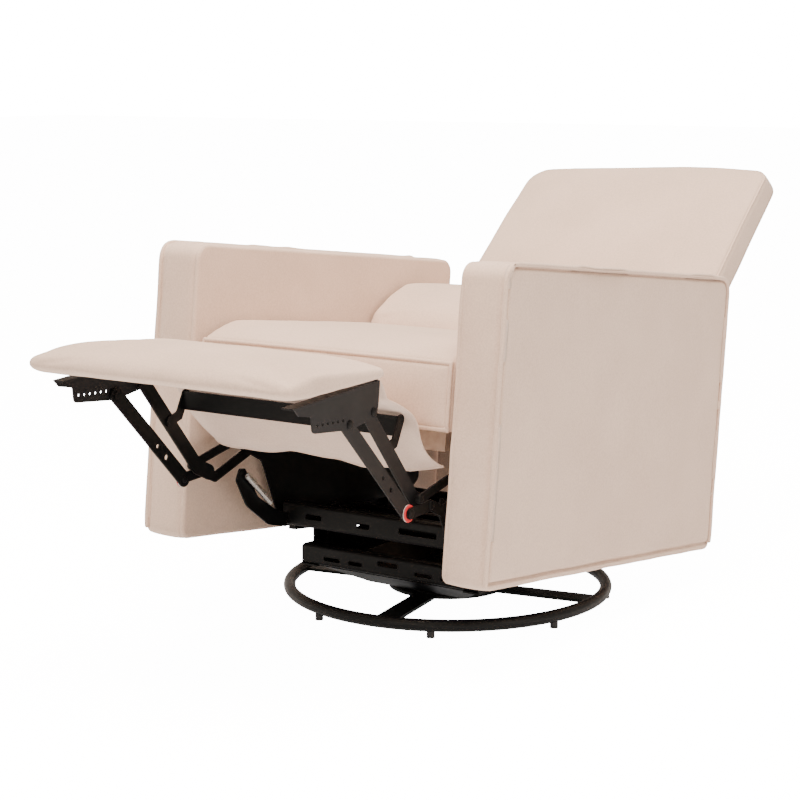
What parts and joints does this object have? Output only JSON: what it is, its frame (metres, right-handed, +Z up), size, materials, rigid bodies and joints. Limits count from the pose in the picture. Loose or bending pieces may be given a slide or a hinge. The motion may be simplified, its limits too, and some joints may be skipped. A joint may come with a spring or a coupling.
{
  "type": "swivel glider recliner chair",
  "caption": "Upholstered nursery armchair that swivels and glides on a round tube base, with a reclining back and a fold-out footrest on steel linkages.",
  "frame": {"origin": "on the floor at the centre of the base ring, the swivel axis", "axes": "+Z up along the swivel axis, -Y towards the footrest, +X towards the sitter's left arm"},
  "size_m": [0.759, 1.7095, 0.7893],
  "materials": {
    "cream_fabric": "matte",
    "black_steel": "satin",
    "grey_steel": "satin",
    "birch_wood": "matte",
    "spring_steel": "satin",
    "red_washer": "satin",
    "pale_nylon": "satin",
    "black_plastic": "matte"
  },
  "bodies": {
    "base": {"base_ring": "black_steel", "base_spokes": "black_steel", "hub_plate": "black_steel", "swivel_bearing": "grey_steel", "swivel_spindle": "grey_steel", "glide_feet": "black_plastic"},
    "swivel_frame": {"swivel_pan": "black_steel", "lower_rails": "black_steel", "lower_cross_panels": "black_steel", "upper_link_pins": "grey_steel"},
    "swing_front_left": {"swing_link_front_left": "grey_steel"},
    "swing_front_right": {"swing_link_front_right": "grey_steel"},
    "swing_rear_left": {"swing_link_rear_left": "grey_steel"},
    "swing_rear_right": {"swing_link_rear_right": "grey_steel"},
    "glide_platform": {"platform_sides": "black_steel", "platform_cross_rails": "black_steel", "lower_link_pins": "grey_steel"},
    "chair_frame": {"arm_left": "cream_fabric", "arm_right": "cream_fabric", "arm_boards": "birch_wood", "seat_cushion": "cream_fabric", "seat_rails": "birch_wood", "seat_springs": "spring_steel", "frame_spacers": "grey_steel", "side_plate_left": "black_steel", "side_plate_right": "black_steel", "front_cross_rail": "black_steel", "sub_rails": "black_steel", "rear_cross_tube": "black_steel", "arm_spacers": "grey_steel", "frame_pins": "grey_steel", "curved_straps": "black_steel", "tension_springs": "spring_steel", "rear_panel": "cream_fabric", "gap_curtain": "cream_fabric"},
    "back": {"backrest": "cream_fabric", "back_brackets": "grey_steel"},
    "pillow": {"lumbar_pillow": "cream_fabric"},
    "ground_link_left": {"ground_link_left": "black_steel"},
    "ground_link_right": {"ground_link_right": "black_steel"},
    "upper_link_left": {"upper_link_left": "black_steel"},
    "upper_link_right": {"upper_link_right": "black_steel"},
    "front_link_left": {"front_link_left": "black_steel", "knee_bush_left": "pale_nylon", "knee_washer_left": "red_washer"},
    "front_link_right": {"front_link_right": "black_steel", "knee_bush_right": "pale_nylon", "knee_washer_right": "red_washer"},
    "rear_link_left": {"rear_link_left": "black_steel", "torque_bar": "black_steel", "torque_arms": "black_steel"},
    "rear_link_right": {"rear_link_right": "black_steel"},
    "footrest": {"footrest_pad": "cream_fabric", "footrest_brackets": "grey_steel", "footrest_pins": "grey_steel"},
    "release_tab": {"release_tab": "cream_fabric"}
  },
  "joints": [
    {"name": "swivel", "type": "hinge", "parent": "base", "child": "swivel_frame", "pos_m": [0, 0, 0.03], "axis": [0, 0, 1], "continuous": true},
    {"name": "glide", "type": "hinge", "parent": "swivel_frame", "child": "swing_rear_left", "pos_m": [0.2075, 0.1, 0.165], "axis": [1, 0, 0], "range_deg": [-26, 26]},
    {"name": "swing_front_right", "type": "hinge", "parent": "swivel_frame", "child": "swing_front_right", "pos_m": [-0.2075, -0.1, 0.165], "axis": [1, 0, 0], "range_deg": [-26.01, 26.01]},
    {"name": "swing_front_left", "type": "hinge", "parent": "swivel_frame", "child": "swing_front_left", "pos_m": [0.2075, -0.1, 0.165], "axis": [1, 0, 0], "range_deg": [-26.01, 26.01]},
    {"name": "swing_rear_right", "type": "hinge", "parent": "swivel_frame", "child": "swing_rear_right", "pos_m": [-0.2075, 0.1, 0.165], "axis": [1, 0, 0], "range_deg": [-26.01, 26.01]},
    {"name": "platform_level", "type": "hinge", "parent": "swing_rear_left", "child": "glide_platform", "pos_m": [0.2075, 0.1, 0.09], "axis": [1, 0, 0], "range_deg": [-26.01, 26.01]},
    {"name": "body_tilt", "type": "hinge", "parent": "glide_platform", "child": "chair_frame", "pos_m": [0, -0.02147, 0.13404], "axis": [1, 0, 0], "range_deg": [0, 6.64]},
    {"name": "back_recline", "type": "hinge", "parent": "chair_frame", "child": "back", "pos_m": [0, 0.24556, 0.17951], "axis": [1, 0, 0], "range_deg": [0, 26]},
    {"name": "pillow_tip", "type": "hinge", "parent": "chair_frame", "child": "pillow", "pos_m": [0, 0.18647, 0.53723], "axis": [1, 0, 0], "range_deg": [0, 62.01]},
    {"name": "footrest_fold", "type": "hinge", "parent": "chair_frame", "child": "ground_link_left", "pos_m": [0.2505, -0.26433, 0.31992], "axis": [1, 0, 0], "range_deg": [0, 93.83], "deforming": ["gap_curtain"]},
    {"name": "ground_link_right", "type": "hinge", "parent": "chair_frame", "child": "ground_link_right", "pos_m": [-0.2505, -0.26433, 0.31992], "axis": [1, 0, 0], "range_deg": [0, 93.84]},
    {"name": "front_link_left", "type": "hinge", "parent": "ground_link_left", "child": "front_link_left", "pos_m": [0.2435, -0.49944, 0.28584], "axis": [1, 0, 0], "range_deg": [-112.27, 0]},
    {"name": "front_link_right", "type": "hinge", "parent": "ground_link_right", "child": "front_link_right", "pos_m": [-0.2435, -0.49944, 0.28584], "axis": [1, 0, 0], "range_deg": [-112.27, 0]},
    {"name": "rear_link_left", "type": "hinge", "parent": "ground_link_left", "child": "rear_link_left", "pos_m": [0.2435, -0.43782, 0.28935], "axis": [1, 0, 0], "range_deg": [-111.13, 0]},
    {"name": "rear_link_right", "type": "hinge", "parent": "ground_link_right", "child": "rear_link_right", "pos_m": [-0.2435, -0.43782, 0.28935], "axis": [1, 0, 0], "range_deg": [-111.13, 0]},
    {"name": "upper_link_left", "type": "hinge", "parent": "chair_frame", "child": "upper_link_left", "pos_m": [0.2505, -0.30146, 0.34175], "axis": [1, 0, 0], "range_deg": [0, 94.78]},
    {"name": "upper_link_right", "type": "hinge", "parent": "chair_frame", "child": "upper_link_right", "pos_m": [-0.2505, -0.30146, 0.34175], "axis": [1, 0, 0], "range_deg": [0, 94.78]},
    {"name": "footrest_turn", "type": "hinge", "parent": "front_link_left", "child": "footrest", "pos_m": [0.2435, -0.67151, 0.46239], "axis": [1, 0, 0], "range_deg": [0, 102.76]},
    {"name": "release_pull", "type": "slide", "parent": "chair_frame", "child": "release_tab", "axis": [0, 0.1155, 0.9933], "range_m": [0, 0.025], "stiffness_N_per_m": 300}
  ],
  "couplings": [
    {"joint": "swing_front_right", "follows": "glide", "ratio": 1},
    {"joint": "swing_front_left", "follows": "glide", "ratio": 1},
    {"joint": "swing_rear_right", "follows": "glide", "ratio": 1},
    {"joint": "platform_level", "follows": "glide", "ratio": -1},
    {"joint": "body_tilt", "follows": "back_recline", "ratio": 0.255},
    {"joint": "pillow_tip", "follows": "back_recline", "ratio": 2.3846},
    {"joint": "ground_link_right", "follows": "footrest_fold", "ratio": 1},
    {"joint": "front_link_left", "follows": "footrest_fold", "ratio": -1.1964},
    {"joint": "front_link_right", "follows": "footrest_fold", "ratio": -1.1964},
    {"joint": "rear_link_left", "follows": "footrest_fold", "ratio": -1.1843},
    {"joint": "rear_link_right", "follows": "footrest_fold", "ratio": -1.1843},
    {"joint": "upper_link_left", "follows": "footrest_fold", "ratio": 1.01},
    {"joint": "upper_link_right", "follows": "footrest_fold", "ratio": 1.01},
    {"joint": "footrest_turn", "follows": "footrest_fold", "ratio": 1.0951}
  ]
}
